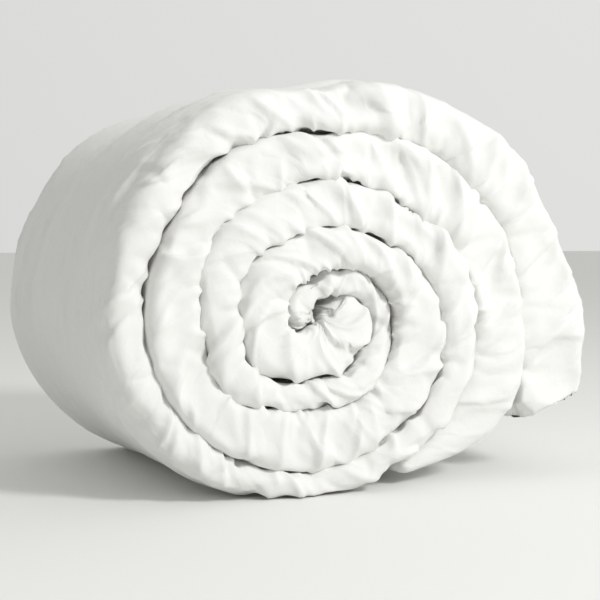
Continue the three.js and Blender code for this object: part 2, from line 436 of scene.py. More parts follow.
def dent(facts, creases, front_reach):
    """Presses shallow grooves across a fold. Each crease is (angle, slant, depth, width, from, to):
    from and to are sides of the fold, 1 outer and -1 inner, and slant leans it along the winding."""
    angle, side, radius, place = (facts[k] for k in ("angle", "side", "radius", "place"))
    near_front = np.exp(-(facts["depth"] / front_reach) ** 2)
    push = np.zeros_like(radius)
    for deg, slant, depth, width, start, end in creases:
        across = np.radians(angle - deg - slant * side) * radius
        low, high = min(start, end) - 0.15, max(start, end) + 0.15
        window = smooth(side, low, low + 0.3) * smooth(-side, -high, -high + 0.3)
        push += depth * np.exp(-(across / width) ** 2) * window
    push = np.minimum(push, MOST_DENT) * near_front
    toward_middle = np.sign(facts["middle"] - radius) * PUSHED_ASIDE * push * np.abs(side)
    x = place[..., 0] + toward_middle * np.cos(np.radians(angle))
    z = place[..., 2] + toward_middle * np.sin(np.radians(angle))
    return np.stack([x, place[..., 1] + push, z], axis=-1)


def scattered_creases(seed, start, end, middle_radius, gap):
    """Small creases at uneven distances, most of them on the inner side, where the cloth is spare."""
    random = np.random.default_rng(seed)
    creases, deg = [], start
    while deg < end:
        radius = float(middle_radius(np.array(deg)))
        deg += math.degrees(gap * random.uniform(0.6, 1.5) / radius)
        inner = random.random() < INNER_SHARE
        reach = random.uniform(0.1, 0.9)
        slant, depth = random.uniform(-5, 5) * 0.2 / radius, random.uniform(2, 5) * mm
        width = random.uniform(4, 7) * mm
        creases.append((deg, slant, depth, width, -1 if inner else 1,
                        -1 + 2 * reach if inner else 1 - reach))
    return creases


# %% [markdown]
# ## The cloth simulation
# The creases of a rolled duvet come from its own length: the strip was flat, and its inner side is now
# too long. So each fold keeps the strip's flat length as its resting size, Blender's Cloth lets the
# spare length buckle, and a little air pressure stands for the filling. Only what shows is free to
# move, and no point moves far, so the folds stay on their winding.

# %% The strip before it was rolled
MOST_SPARE = 1.12      # near the core the strip was wound tighter than its full length
OUTER_RULES = 0.95     # 0 where the fold's middle rules its length, 1 where its outer side does
FILLING_PRESSURE = 2.5
FRAMES = 20
FARTHEST = 14 * mm
FREE_DEPTH, HELD_DEPTH = 45 * mm, 85 * mm
BACK_FREE, BACK_HELD = 40 * mm, 75 * mm
TUCK_FREE, TUCK_HELD = 22, 42    # degrees: past these the roll's weight holds the tucked end


def flat_strip(facts):
    """The fold laid out straight, as long as its cloth is."""
    half = np.abs(facts["radius"] - facts["middle"]).max(axis=1)
    centre_line = facts["middle"][:, 0]
    ruling = np.minimum(centre_line + OUTER_RULES * half, MOST_SPARE * centre_line)
    step = np.radians(np.diff(facts["angle"].mean(axis=1))) * (ruling[1:] + ruling[:-1]) / 2
    flat_x = np.concatenate([[0], np.cumsum(step)])[:, None] * np.ones_like(facts["radius"])
    return np.stack([flat_x, facts["place"][..., 1], facts["radius"] - facts["middle"]], axis=-1)


# %% Cotton as Blender's Cloth knows it
def add_cloth(piece, straight, held):
    """Adds the simulation; held is 1 where a point stays and 0 where it is free."""
    group = piece.vertex_groups.new(name="held")
    levels = np.round(held.ravel() * 20) / 20
    for level in np.unique(levels):
        if level > 0:
            group.add(np.flatnonzero(levels == level).tolist(), float(level), "REPLACE")
    cloth = piece.modifiers.new("cloth", "CLOTH")
    settings = cloth.settings
    settings.quality = 6
    settings.mass = 0.2
    settings.tension_stiffness = 25
    settings.compression_stiffness = 25
    settings.shear_stiffness = 8
    settings.bending_stiffness = 0.6
    settings.air_damping = 3
    settings.use_pressure = True
    settings.uniform_pressure_force = FILLING_PRESSURE
    settings.vertex_group_mass = "held"
    settings.pin_stiffness = 1
    settings.rest_shape_key = straight
    settings.effector_weights.gravity = 0
    cloth.collision_settings.use_collision = False
    cloth.point_cache.frame_end = FRAMES + 1
    return cloth


# %% Simulate one fold
def simulate(piece, facts, held):
    """Lets the free cloth of a fold buckle and puff, and keeps the result."""
    start = facts["dented"].reshape(-1, 3)
    piece.data.vertices.foreach_set("co", start.ravel())
    piece.shape_key_add(name="rolled")
    straight = piece.shape_key_add(name="straight")
    straight.data.foreach_set("co", flat_strip(facts).ravel())
    straight.value = 0
    cloth = add_cloth(piece, straight, held)
    for number in range(1, FRAMES + 1):
        bpy.context.scene.frame_set(number)
    shown = piece.evaluated_get(bpy.context.evaluated_depsgraph_get()).data
    moved = np.zeros(len(start) * 3)
    shown.vertices.foreach_get("co", moved)
    moved = moved.reshape(-1, 3) - start
    far = np.linalg.norm(moved, axis=1, keepdims=True)
    print(piece.name, "cloth moved", round(float(far.mean()) * 1000, 1), "mm on average,",
          round(float(far.max()) * 1000, 1), "mm at most")
    moved *= np.minimum(1, FARTHEST / np.maximum(far, 1e-9))
    piece.modifiers.remove(cloth)
    piece.shape_key_clear()
    bpy.context.scene.frame_set(1)
    piece.data.vertices.foreach_set("co", (start + moved).ravel())
    piece.data.update()


# %% Crease the outer fold
outer_creases = scattered_creases(11, -20, 835, outer_middle, 34 * mm)
outer_facts["dented"] = dent(outer_facts, outer_creases, DENT_REACH)
held = np.minimum(smooth(outer_facts["depth"], FREE_DEPTH, HELD_DEPTH),
                  smooth(BACK - outer_facts["place"][..., 1], BACK_FREE, BACK_HELD))
simulate(outer_fold, outer_facts, held)

# %% Crease the inner fold
inner_creases = scattered_creases(12, -30, 775, inner_middle, 30 * mm)
inner_facts["dented"] = dent(inner_facts, inner_creases, DENT_REACH)
pressed = smooth(-inner_facts["angle"], TUCK_FREE, TUCK_HELD)
held = np.maximum(smooth(inner_facts["depth"], FREE_DEPTH, HELD_DEPTH), pressed)
simulate(inner_fold, inner_facts, held)

# %% [markdown]
# ## Smoothing
# Cloth has no corners, so the simulated grid is divided once more into a smooth surface. This also gives
# the fine creases of the next step enough points to be sharp.

# %% Smooth the cloth
for piece in (outer_fold, inner_fold):
    finer = piece.modifiers.new("finer", "SUBSURF")
    finer.levels = finer.render_levels = 1
    bpy.context.view_layer.objects.active = piece
    bpy.ops.object.modifier_apply(modifier=finer.name)
    print(piece.name, len(piece.data.polygons), "faces")

# %% [markdown]
# ## Pressed creases
# Cotton that has been folded and pulled round keeps sharp creases. On a real roll they start in the seams
# between the turns, where the cloth is pinched, and run across the fold at a slant, because the strip
# was dragged along as it was rolled. Each crease here is a line on the cloth, with a sharp valley and a
# fuller shoulder on each side; some are stepped, as where a fold lies over itself.

# %% Lines of creases
def crease_lines(seed, start, end, middle_radius, rim, plan):
    """Lists creases as (angle, from, to, lean, depth, width, step, wave). The places from and to are
    distances across the cloth from the fold's tip, positive on its outer side."""
    random = np.random.default_rng(seed)
    lines = []
    for gap, start_range, length_range, lean, lean_spread, depth_range, width_range in plan:
        deg = start + random.uniform(0, 10)
        while deg < end:
            radius = float(middle_radius(np.array(deg)))
            fit = min(1.0, 0.45 + radius / (300 * mm))
            first = random.uniform(*start_range) * rim
            length = random.uniform(*length_range) * rim
            lines.append((deg, first, first + length, random.normal(lean, lean_spread),
                          random.uniform(*depth_range) * mm * fit, random.uniform(*width_range) * mm * fit,
                          random.uniform(-1, 1), random.uniform(-1, 1)))
            deg += math.degrees(gap * fit * random.uniform(0.55, 1.5) / radius)
    return lines


# %% Shape of one crease
SOFT = 0.9 * mm        # how sharp a valley is at its bottom
OPEN_SIDE = 260        # up to this angle no turn lies outside to pinch the cloth
WAVE = 0.1             # of a crease's length, how far it bows
SHOULDER = 0.15        # of the depth, how high the cloth stands beside it


def crease_lift(crease, turn, across, middle_radius):
    """How far one crease moves the cloth out, and which points it moves."""
    deg, first, last, lean, depth, width, step, wave = crease
    radius = float(middle_radius(np.array(deg)))
    reach = math.degrees((abs(lean * (last - first)) + 5 * width) / radius)
    near = np.flatnonzero(np.abs(turn - deg) < reach)
    along, up = np.radians(turn[near] - deg) * radius, across[near] - first
    run, rise = lean * (last - first), last - first
    length = math.hypot(run, rise)
    share = (along * run + up * rise) / length ** 2
    within = np.clip(share, 0, 1)
    off = (along * rise - up * run) / length + wave * WAVE * length * np.sin(within * math.pi)
    off = off / (1 + 0.6 * within)
    gap = np.sqrt(off * off + SOFT * SOFT) - SOFT
    starts_softly = 0.45 if first > 0 and deg < OPEN_SIDE else 0.1
    fade = smooth(share, -0.12, starts_softly) * smooth(1 - share, -0.05, 0.6)
    valley = -np.exp(-gap / (0.5 * width)) + SHOULDER * np.exp(-((gap - 1.5 * width) / width) ** 2)
    stepped = 0.9 * step * np.tanh(off / SOFT) * np.exp(-gap / (1.8 * width))
    return near, depth * fade * (valley + stepped)


# %% Press creases into the cloth
OTHER_END = 150 * mm   # distances across the cloth wrap round here, and mean nothing
FAR = 10.0
HIGHEST, DEEPEST = 3 * mm, 10 * mm
TIGHT_TURNS = 290      # the outermost cloth is pulled tight round its rim
TIGHTNESS = 0.55


def read_points(mesh, *marks):
    """The places and normals of a mesh's points, and the named marks on them."""
    count = len(mesh.vertices)
    place, normal = np.zeros(count * 3), np.zeros(count * 3)
    mesh.vertices.foreach_get("co", place)
    mesh.vertices.foreach_get("normal", normal)
    values = []
    for mark in marks:
        values.append(np.zeros(count))
        mesh.attributes[mark].data.foreach_get("value", values[-1])
    return place.reshape(-1, 3), normal.reshape(-1, 3), *values


def move_points(mesh, place):
    mesh.vertices.foreach_set("co", place.ravel())
    mesh.update()


def press(piece, mark, lines, middle_radius):
    """Presses the creases into the cloth, along its own normals."""
    place, normal, turn, across = read_points(piece.data, "turn", mark)
    deep = place[:, 1]
    across[deep > BACK - OTHER_END if mark == "from_front" else deep < FRONT + OTHER_END] = FAR
    lift = np.zeros(len(turn))
    for crease in lines:
        near, amount = crease_lift(crease, turn, across, middle_radius)
        lift[near] += amount
    lift = np.where(lift > 0, HIGHEST * np.tanh(lift / HIGHEST), DEEPEST * np.tanh(lift / DEEPEST))
    stretched = (turn < TIGHT_TURNS) & (across > 0)
    lift *= np.where(stretched, 1 - TIGHTNESS * smooth(across, 12 * mm, 38 * mm), 1)
    move_points(piece.data, place + normal * lift[:, None])
    print(piece.name, len(lines), "creases at the", mark)


# %% [markdown]
# ## Wrinkles of the open side
# Where the outermost cloth lies open it is never quite even: the filling shifts into soft swells, and the
# pull round the roll leaves long faint wrinkles. Both are sums of waves across the cloth, which costs
# little and leaves no seam.

# %% Rumple the open cloth
SWELL_WAVES, WRINKLE_WAVES = 12, 9


def rumple(piece, seed, height, ridge):
    """Soft swells, and long faint wrinkles round the roll, wherever the cloth lies open."""
    place, normal, turn = read_points(piece.data, "turn")
    along, deep = np.radians(turn) * outer_middle(turn), place[:, 1]
    random = np.random.default_rng(seed)
    lift = np.zeros(len(turn))
    for _ in range(SWELL_WAVES):
        heading, length = random.uniform(0, math.pi), random.uniform(110, 260) * mm
        wave = (along * math.cos(heading) + deep * math.sin(heading)) * 2 * math.pi / length
        lift += height / 4 * np.sin(wave + random.uniform(0, 6.3))
    for _ in range(WRINKLE_WAVES):
        heading, length = random.normal(math.pi / 2, 0.16), random.uniform(50, 120) * mm
        wave = (along * math.cos(heading) + deep * math.sin(heading)) * math.pi / length
        soft_mask = smooth(np.sin(along * random.uniform(5, 11) + random.uniform(0, 6.3)), 0.0, 0.9)
        lift -= ridge * soft_mask * (1 - np.abs(np.sin(wave + random.uniform(0, 6.3)))) ** 6
    move_points(piece.data, place + normal * lift[:, None])
    print(piece.name, "rumpled by up to", round(float(np.abs(lift).max()) / mm, 1), "mm")


# %% [markdown]
# ## Where the creases run
# Small creases are scattered by a plan: how far apart, where they start, how far they run and how much
# they lean. The strongest ones are listed one by one, where the roll is pulled hardest.

# %% Plans of scattered creases
# Each row: gap, where a crease starts, how far it runs, its lean and spread, depth and width in mm
FRONT_PLAN = [(64 * mm, (0.5, 1.3), (-2.2, -1.1), 1.25, 0.4, (3.5, 6.5), (5, 11)),
              (32 * mm, (-1.15, -0.95), (0.35, 1.2), 0.6, 0.7, (2.5, 6.0), (3.5, 8)),
              (60 * mm, (0.85, 1.05), (-0.9, -0.4), 1.0, 0.4, (2.0, 4.0), (4, 7))]
SIDE_PLAN = [(95 * mm, (0.7, 1.5), (0.9, 2.6), 0.9, 0.6, (2.5, 5.0), (15, 24))]
BACK_PLAN = [(60 * mm, (0.6, 1.2), (-1.7, -0.7), 0.7, 0.5, (4.0, 7.5), (7, 13)),
             (48 * mm, (-1.3, -0.6), (0.7, 1.7), -0.6, 0.5, (4.0, 7.5), (6, 12))]


print("sorts of crease:", len(FRONT_PLAN), "in front,", len(SIDE_PLAN), "on the side,", len(BACK_PLAN),
      "behind")

# %% Strongest creases
# Each is (angle, from, to, lean, depth, width, step, wave), with the places, depths and widths in mm
OUTER_CREASES = [(157, 64, -22, 1.5, 6, 14, 0.8, 0.6), (139, 40, -34, 1.3, 5, 11, -0.6, 0.4),
                 (181, 62, -26, 0.6, 5, 12, 0.7, -0.5), (203, 55, -30, 0.5, 4, 11, -0.6, 0.4),
                 (222, 46, -36, 0.9, 5, 10, 0.7, 0.3), (98, 36, -34, 1.1, 6, 12, 0.8, 0.5),
                 (116, 34, -30, 1.3, 4, 10, -0.5, 0.3), (81, 38, -34, 1.0, 6, 12, 0.9, -0.4),
                 (67, 30, -36, 0.7, 5, 10, -0.7, 0.3), (45, 36, -30, 0.7, 6, 11, 0.8, 0.4),
                 (33, 44, -14, 0.4, 4, 13, -0.7, 0.3), (20, 48, -40, 0.8, 6, 15, 0.8, 0.5),
                 (2, 50, -46, 0.5, 5, 14, -0.7, -0.4), (-9, 42, -30, -0.6, 4, 14, 0.6, 0.4),
                 (446, 34, -30, 0.9, 6, 10, 0.8, 0.4), (470, 36, -34, 1.1, 6, 10, -0.8, 0.4),
                 (500, 34, -32, 0.5, 5, 10, 0.8, -0.4), (424, 34, -34, 0.8, 5, 9, 0.7, 0.3),
                 (398, 36, -28, 1.0, 5, 10, -0.6, 0.3), (560, 34, -30, 0.8, 6, 11, 0.7, 0.5),
                 (590, 34, -34, 0.6, 5, 10, -0.7, 0.3), (640, 32, -30, 0.9, 5, 9, 0.7, 0.3)]
INNER_CREASES = [(101, 42, -6, 1.0, 9, 12, 1.0, 0.5), (90, -40, 2, -0.7, 7, 10, -0.9, 0.4),
                 (158, 40, -30, 0.3, 8, 12, 0.9, 0.5), (148, -40, 10, 0.8, 5, 9, -0.7, 0.3),
                 (80, 40, -36, 1.2, 5, 9, 0.7, 0.4), (70, 38, -38, 1.3, 6, 9, -0.6, 0.3),
                 (59, 40, -36, 1.1, 6, 10, 0.8, 0.4), (49, 36, -38, 1.2, 5, 9, -0.6, -0.3),
                 (38, 40, -36, 0.9, 6, 10, 0.8, 0.3), (24, 38, -36, 0.8, 5, 10, 0.6, 0.3),
                 (6, 40, -34, 0.7, 5, 11, -0.7, 0.3), (238, 40, -36, 0.7, 5, 10, 0.7, 0.4),
                 (251, 42, -30, 0.3, 6, 11, -0.7, 0.4), (264, 40, -34, -0.2, 6, 11, 0.8, -0.4),
                 (277, 42, -30, -0.5, 5, 10, 0.7, 0.3), (292, 40, -34, -0.3, 5, 10, -0.7, 0.3),
                 (182, 38, -36, 0.6, 6, 11, 0.7, 0.4), (205, 40, -30, 0.9, 5, 10, -0.6, 0.3),
                 (440, 36, -30, 0.8, 6, 9, 0.8, 0.4), (465, 34, -34, 1.0, 5, 9, -0.7, 0.4),
                 (505, 36, -32, 0.6, 6, 10, 0.8, 0.3), (545, 36, -34, 0.5, 5, 10, -0.7, 0.3),
                 (600, 36, -32, 0.7, 6, 10, 0.8, 0.4), (650, 34, -32, 0.6, 5, 9, -0.7, 0.3),
                 (700, 32, -30, 0.8, 6, 10, 0.9, 0.4), (735, 30, -30, 0.5, 6, 10, -0.8, 0.4)]


def in_metres(creases):
    return [(deg, first * mm, last * mm, lean, depth * mm, width * mm, step, wave)
            for deg, first, last, lean, depth, width, step, wave in creases]


print(len(OUTER_CREASES), "placed on the outer fold,", len(INNER_CREASES), "on the inner fold")

# %% Press the outer fold
OUTER_RIM, INNER_RIM, SIDE_RIM = 42 * mm, 40 * mm, 60 * mm    # the plans' lengths are shares of these
SWELL_HEIGHT, WRINKLE_DEPTH = 4.5 * mm, 2.4 * mm
outer_lines = crease_lines(21, -16, 880, outer_middle, OUTER_RIM, FRONT_PLAN) + in_metres(OUTER_CREASES)
outer_back_lines = crease_lines(31, 96, 640, outer_middle, SIDE_RIM, BACK_PLAN)
side_lines = crease_lines(41, -12, 320, outer_middle, SIDE_RIM, SIDE_PLAN)
far_side_lines = crease_lines(42, -12, 320, outer_middle, SIDE_RIM, SIDE_PLAN)
rumple(outer_fold, 51, SWELL_HEIGHT, WRINKLE_DEPTH)
press(outer_fold, "from_front", side_lines, outer_middle)
press(outer_fold, "from_back_outward", far_side_lines, outer_middle)
press(outer_fold, "from_front", outer_lines, outer_middle)
press(outer_fold, "from_back_outward", outer_back_lines, outer_middle)

# %% Press the inner fold
inner_lines = crease_lines(22, -24, 785, inner_middle, INNER_RIM, FRONT_PLAN) + in_metres(INNER_CREASES)
press(inner_fold, "from_front", inner_lines, inner_middle)

# %% Rest the folds on the surface
CLEARANCE = 0.3 * mm
for piece in (outer_fold, inner_fold):
    place = np.zeros(len(piece.data.vertices) * 3)
    piece.data.vertices.foreach_get("co", place)
    lowest = place[2::3].min()
    place[2::3] = np.maximum(place[2::3], CLEARANCE)
    piece.data.vertices.foreach_set("co", place)
    piece.data.update()
    print(piece.name, "reached", round(float(lowest) * 1000, 1), "mm before it was pressed flat")

# %% [markdown]
# ## The free end
# Only the outer fold's last part hangs free, so it is a piece of its own on the real duvet's winding: it
# can be lifted off the roll, and its tip can be bent further. The cloth goes on without a break there, so
# the pieces are parted on a row of the winding and each one bends smoothly from one body to the next.

# %% Part the outer fold
TAIL_FROM = 62
TIP_FROM = 24
CAP_RIM, CAP_DEPTH = 2 * mm, 3 * mm    # the faces where it was parted lie back a little from each other


def part_of(whole, name, low, high):
    """A copy of the whole between two angles of the winding, closed where it was parted."""
    piece = whole.copy()
    piece.data = whole.data.copy()
    piece.name = piece.data.name = name
    bpy.context.collection.objects.link(piece)
    shape = bmesh.new()
    shape.from_mesh(piece.data)
    turn = shape.verts.layers.float["turn"]
    outside = [face for face in shape.faces
               if not low <= sum(vert[turn] for vert in face.verts) / len(face.verts) < high]
    bmesh.ops.delete(shape, geom=outside, context="FACES")
    edges = [edge for edge in shape.edges if edge.is_boundary]
    caps = bmesh.ops.holes_fill(shape, edges=edges)["faces"]
    for edge in edges:
        edge.smooth = False
    bmesh.ops.recalc_face_normals(shape, faces=shape.faces)
    bmesh.ops.inset_individual(shape, faces=caps, thickness=CAP_RIM, depth=-CAP_DEPTH)
    shape.to_mesh(piece.data)
    shape.free()
    print(name, len(piece.data.polygons), "faces,", len(edges), "edges where it was parted")
    return piece


tail = part_of(outer_fold, "tail", TIP_FROM, TAIL_FROM)
tail_tip = part_of(outer_fold, "tail_tip", -180, TIP_FROM)
rest = part_of(outer_fold, "rest", TAIL_FROM, 1e4)
outer_fold.data = rest.data
bpy.data.objects.remove(rest)


# %% [markdown]
# ## Cotton
# The shell is a fine plain-woven cotton, washed soft. Up close it is a weave of threads about a third of a
# millimetre apart, far too fine to show, so the weave is drawn at a little over a millimetre, very faintly.
# Cotton scatters light softly: it is rough, with a little sheen from the loose fibres on its surface.

# %% Colours
def linear(code):
    """A colour written as sRGB hex, turned to the linear values that shaders use."""
    parts = [int(code[k:k + 2], 16) / 255 for k in (1, 3, 5)]
    return tuple(p / 12.92 if p <= 0.04045 else ((p + 0.055) / 1.055) ** 2.4 for p in parts) + (1.0,)


# %% Nodes
def add_node(tree, kind, settings=(), **links):
    """Adds one node; settings are its properties, links are its inputs: sockets or plain values."""
    node = tree.nodes.new(kind)
    for key, value in dict(settings).items():
        setattr(node, key, value)
    for key, value in links.items():
        socket = node.inputs[int(key[1:])] if key[1:].isdigit() else node.inputs[key.replace("_", " ")]
        if isinstance(value, bpy.types.NodeSocket):
            tree.links.new(value, socket)
        else:
            socket.default_value = value
    return node


# %% Weave
THREADS_PER_METRE = 260.0


def weave_height(tree, weave_uv):
    """Warp and weft threads, crossing."""
    warp, weft = (add_node(tree, "ShaderNodeTexWave", {"bands_direction": way}, Vector=weave_uv,
                           Scale=THREADS_PER_METRE, Distortion=0.6).outputs["Fac"] for way in "XY")
    return add_node(tree, "ShaderNodeMath", {"operation": "MULTIPLY"}, _0=warp, _1=weft).outputs[0]


# %% Small creases
CREASE_HEADING = -48   # degrees from the winding
CREASES_ALONG, CREASES_ACROSS = 10.0, 32.0    # per metre
BY_THE_EDGE, AWAY_FROM_EDGE = 0.04, 0.15      # metres: the creases fade in between


def crease_height(tree, weave_uv):
    """Flat facets with creases between them, long and slanting."""
    heading = (0, 0, math.radians(CREASE_HEADING))
    turned = add_node(tree, "ShaderNodeMapping", Vector=weave_uv, Rotation=heading)
    bent = add_node(tree, "ShaderNodeTexNoise", Vector=weave_uv, Scale=14.0, Detail=1.0)
    wandering = add_node(tree, "ShaderNodeVectorMath", {"operation": "MULTIPLY_ADD"},
                         _0=bent.outputs["Color"], _1=(0.03, 0.03, 0.0), _2=turned.outputs[0])
    stretched = add_node(tree, "ShaderNodeMapping", Vector=wandering.outputs[0],
                         Scale=(CREASES_ALONG, CREASES_ACROSS, 1.0))
    cells = add_node(tree, "ShaderNodeTexVoronoi", {"feature": "DISTANCE_TO_EDGE"},
                     Vector=stretched.outputs[0], Scale=1.0)
    return add_node(tree, "ShaderNodeMapRange", {"interpolation_type": "SMOOTHSTEP"},
                    Value=cells.outputs["Distance"], From_Min=0.0, From_Max=0.28).outputs[0]


def edge_nearness(tree):
    """1 by the front and back edges of the roll, fading away from them."""
    nearness = []
    for end in ("from_front", "from_back"):
        across = add_node(tree, "ShaderNodeAttribute", {"attribute_name": end}).outputs["Fac"]
        size = add_node(tree, "ShaderNodeMath", {"operation": "ABSOLUTE"}, _0=across)
        nearness.append(add_node(tree, "ShaderNodeMapRange", Value=size.outputs[0], From_Min=BY_THE_EDGE,
                                 From_Max=AWAY_FROM_EDGE, To_Min=1.0, To_Max=0.12).outputs[0])
    return add_node(tree, "ShaderNodeMath", {"operation": "MAXIMUM"}, _0=nearness[0],
                    _1=nearness[1]).outputs[0]


# %% Washed percale
ROUGHNESS, SHEEN = 0.88, 0.25


def washed_percale(name, colour, shade):
    """Fine white cotton: weave, small creases and soft rumples over a colour that drifts a little."""
    material = bpy.data.materials.new(name)
    material.use_nodes = True
    tree = material.node_tree
    tree.nodes.clear()
    weave_uv = add_node(tree, "ShaderNodeUVMap", {"uv_map": "weave"}).outputs["UV"]
    place = add_node(tree, "ShaderNodeTexCoord").outputs["Object"]
    creases = add_node(tree, "ShaderNodeMath", {"operation": "MULTIPLY"}, _0=crease_height(tree, weave_uv),
                       _1=edge_nearness(tree))
    swells = add_node(tree, "ShaderNodeTexNoise", Vector=place, Scale=55.0, Detail=3.0, Roughness=0.55)
    pressed = add_node(tree, "ShaderNodeBump", Strength=0.4, Distance=0.0026, Height=creases.outputs[0])
    fine = add_node(tree, "ShaderNodeBump", Strength=0.12, Distance=0.0006, Normal=pressed.outputs["Normal"],
                    Height=weave_height(tree, weave_uv))
    soft = add_node(tree, "ShaderNodeBump", Strength=0.25, Distance=0.004, Normal=fine.outputs["Normal"],
                    Height=swells.outputs["Fac"])
    patch = add_node(tree, "ShaderNodeTexNoise", Vector=place, Scale=7.0, Detail=2.0)
    tint = add_node(tree, "ShaderNodeMix", {"data_type": "RGBA"}, Factor=patch.outputs["Fac"],
                    _6=linear(colour), _7=linear(shade))
    shader = add_node(tree, "ShaderNodeBsdfPrincipled", Base_Color=tint.outputs[2], Roughness=ROUGHNESS,
                      Sheen_Weight=SHEEN, Sheen_Roughness=0.45, Normal=soft.outputs["Normal"])
    add_node(tree, "ShaderNodeOutputMaterial", Surface=shader.outputs[0])
    print(name, "has", len(tree.nodes), "nodes")
    return material


# %% Four cottons
shell_cotton = washed_percale("washed white percale", "#ececea", "#e7e7e4")
lining_cotton = washed_percale("lining percale", "#eeeeec", "#e6e6e3")
wadding = washed_percale("hollow fibre", "#fbfbf8", "#f4f4f0")
hem_cotton = washed_percale("hem percale", "#efefec", "#e6e6e2")

# %% [markdown]
# ## Inside the folds
# Each fold is the duvet doubled over, so inside it there are two layers of loose fibre with the other side
# of the shell lying double between them. They are plain slabs that follow the winding well inside the
# cloth. They can be seen only when the model is taken apart.

# %% Slabs along the winding
SLAB_STEP = 5          # degrees between two rows
SLAB_RIM = 14 * mm
FLAT = 0.55            # share of a slab's ends that is flat


def add_slab(points, faces, low, high, radius_low, radius_high, front, back):
    """Adds a closed slab between two radii that follows the winding from one angle to another."""
    rows = np.arange(low, high + 1e-6, (high - low) / max(4, round((high - low) / SLAB_STEP)))
    rim = min(SLAB_RIM, (back - front) / 8)
    section = [(-FLAT, front), (FLAT, front), (1, front + rim), (1, back - rim), (FLAT, back),
               (-FLAT, back), (-1, back - rim), (-1, front + rim)]
    first = len(points)
    for deg in rows:
        low_here, high_here = float(radius_low(np.array(deg))), float(radius_high(np.array(deg)))
        for side, y in section:
            radius = (high_here + low_here) / 2 + side * (high_here - low_here) / 2
            points.append(to_place(deg, radius, y).tolist())
    size = len(section)
    for i in range(len(rows) - 1):
        for j in range(size):
            a, b = first + i * size + j, first + i * size + (j + 1) % size
            faces.append((a, a + size, b + size, b))
    faces.append(tuple(first + j for j in range(size)))
    faces.append(tuple(first + (len(rows) - 1) * size + j for j in reversed(range(size))))


def inside_piece(name, slabs):
    """One piece made of slabs, each given by its two angles, two radii, front and back."""
    points, faces = [], []
    for slab in slabs:
        add_slab(points, faces, *slab)
    mesh = bpy.data.meshes.new(name)
    mesh.from_pydata(points, [], faces)
    mesh.update()
    piece = bpy.data.objects.new(name, mesh)
    bpy.context.collection.objects.link(piece)
    bm = bmesh.new()
    bm.from_mesh(mesh)
    bmesh.ops.recalc_face_normals(bm, faces=bm.faces)
    bm.to_mesh(mesh)
    bm.free()
    return piece


# %% Fibre and inner cloth of one stretch
CLOTH_ROOM = 12 * mm   # creases reach this deep
LINING_HALF = 1.5 * mm
APART = 0.5 * mm       # between the fibre and the cloth in its middle
THINNEST = 1 * mm
FIBRE_FRONT, LINING_FRONT, FIBRE_BACK, END_ROOM = 66 * mm, 76 * mm, 30 * mm, 14


def fold_insides(name, low, high, radius_out, radius_in, back):
    """Two layers of fibre with the inner cloth between them, from one angle to another."""
    beside = LINING_HALF + APART

    def middle(deg):
        return (radius_out(deg) + radius_in(deg)) / 2

    def shrunk_out(deg):
        return np.maximum(radius_out(deg) - CLOTH_ROOM, middle(deg) + beside + THINNEST)

    def shrunk_in(deg):
        return np.minimum(radius_in(deg) + CLOTH_ROOM, middle(deg) - beside - THINNEST)

    span = (low, high)
    fibre = inside_piece(name + "_fibre", [
        (*span, lambda deg: middle(deg) + beside, shrunk_out, FRONT + FIBRE_FRONT, back - FIBRE_BACK),
        (*span, shrunk_in, lambda deg: middle(deg) - beside, FRONT + FIBRE_FRONT, back - FIBRE_BACK)])
    sheet = inside_piece(name + "_inner_cloth", [
        (*span, lambda deg: middle(deg) - LINING_HALF, lambda deg: middle(deg) + LINING_HALF,
         FRONT + LINING_FRONT, back - FIBRE_BACK - 4 * mm)])
    print(name, "fibre and inner cloth", [round(v, 3) for v in (*fibre.dimensions, *sheet.dimensions)])
    return fibre, sheet


# %% Fill all four stretches
HIDDEN_BACK = BACK - HOOK_DEPTH - 20 * mm
OPEN_BACK = BACK - 10 * mm
insides = {
    "outer_fold": fold_insides("outer_fold", TAIL_FROM + 2, OUTER_FOLD_END - END_ROOM * 2, outer_radius,
                               seam_radius, HIDDEN_BACK),
    "inner_fold": fold_insides("inner_fold", TUCK_END + END_ROOM * 2, INNER_FOLD_END - END_ROOM * 2,
                               tucked_radius, inner_radius, HIDDEN_BACK),
    "tail": fold_insides("tail", TIP_FROM + 1, TAIL_FROM - 1, outer_radius, seam_radius, OPEN_BACK),
    "tail_tip": fold_insides("tail_tip", TAIL_END + END_ROOM, TIP_FROM - 1, outer_radius, seam_radius,
                             OPEN_BACK)}

# %% [markdown]
# ## The sewn edge of the free end
# The duvet's open end is turned in and sewn shut, which leaves a narrow flat hem across the free end. It
# is a thin strip, soft enough to wave a little, and it thins out before it reaches the rims.

# %% Hem
HEM_DEPTH, HEM_THICKNESS, HEM_SETBACK, HEM_TAPER = 7 * mm, 3 * mm, 58 * mm, 90 * mm
hem_angle = np.array(float(TAIL_END))
hem_top = Vector(to_place(hem_angle, outer_middle(hem_angle), 0.0))
hem_way = Vector((math.sin(math.radians(TAIL_END)), 0, -math.cos(math.radians(TAIL_END))))
bpy.ops.mesh.primitive_cube_add(size=1, location=hem_top + hem_way * 0.25 * HEM_DEPTH,
                                rotation=(0, -math.radians(TAIL_END), 0))
hem = bpy.context.object
hem.name = hem.data.name = "tail_hem_edge"
hem.scale = (HEM_THICKNESS, BACK - FRONT - 2 * HEM_SETBACK, HEM_DEPTH)
bpy.ops.object.transform_apply(location=True, rotation=True, scale=True)
print("hem", [round(side, 3) for side in hem.dimensions])

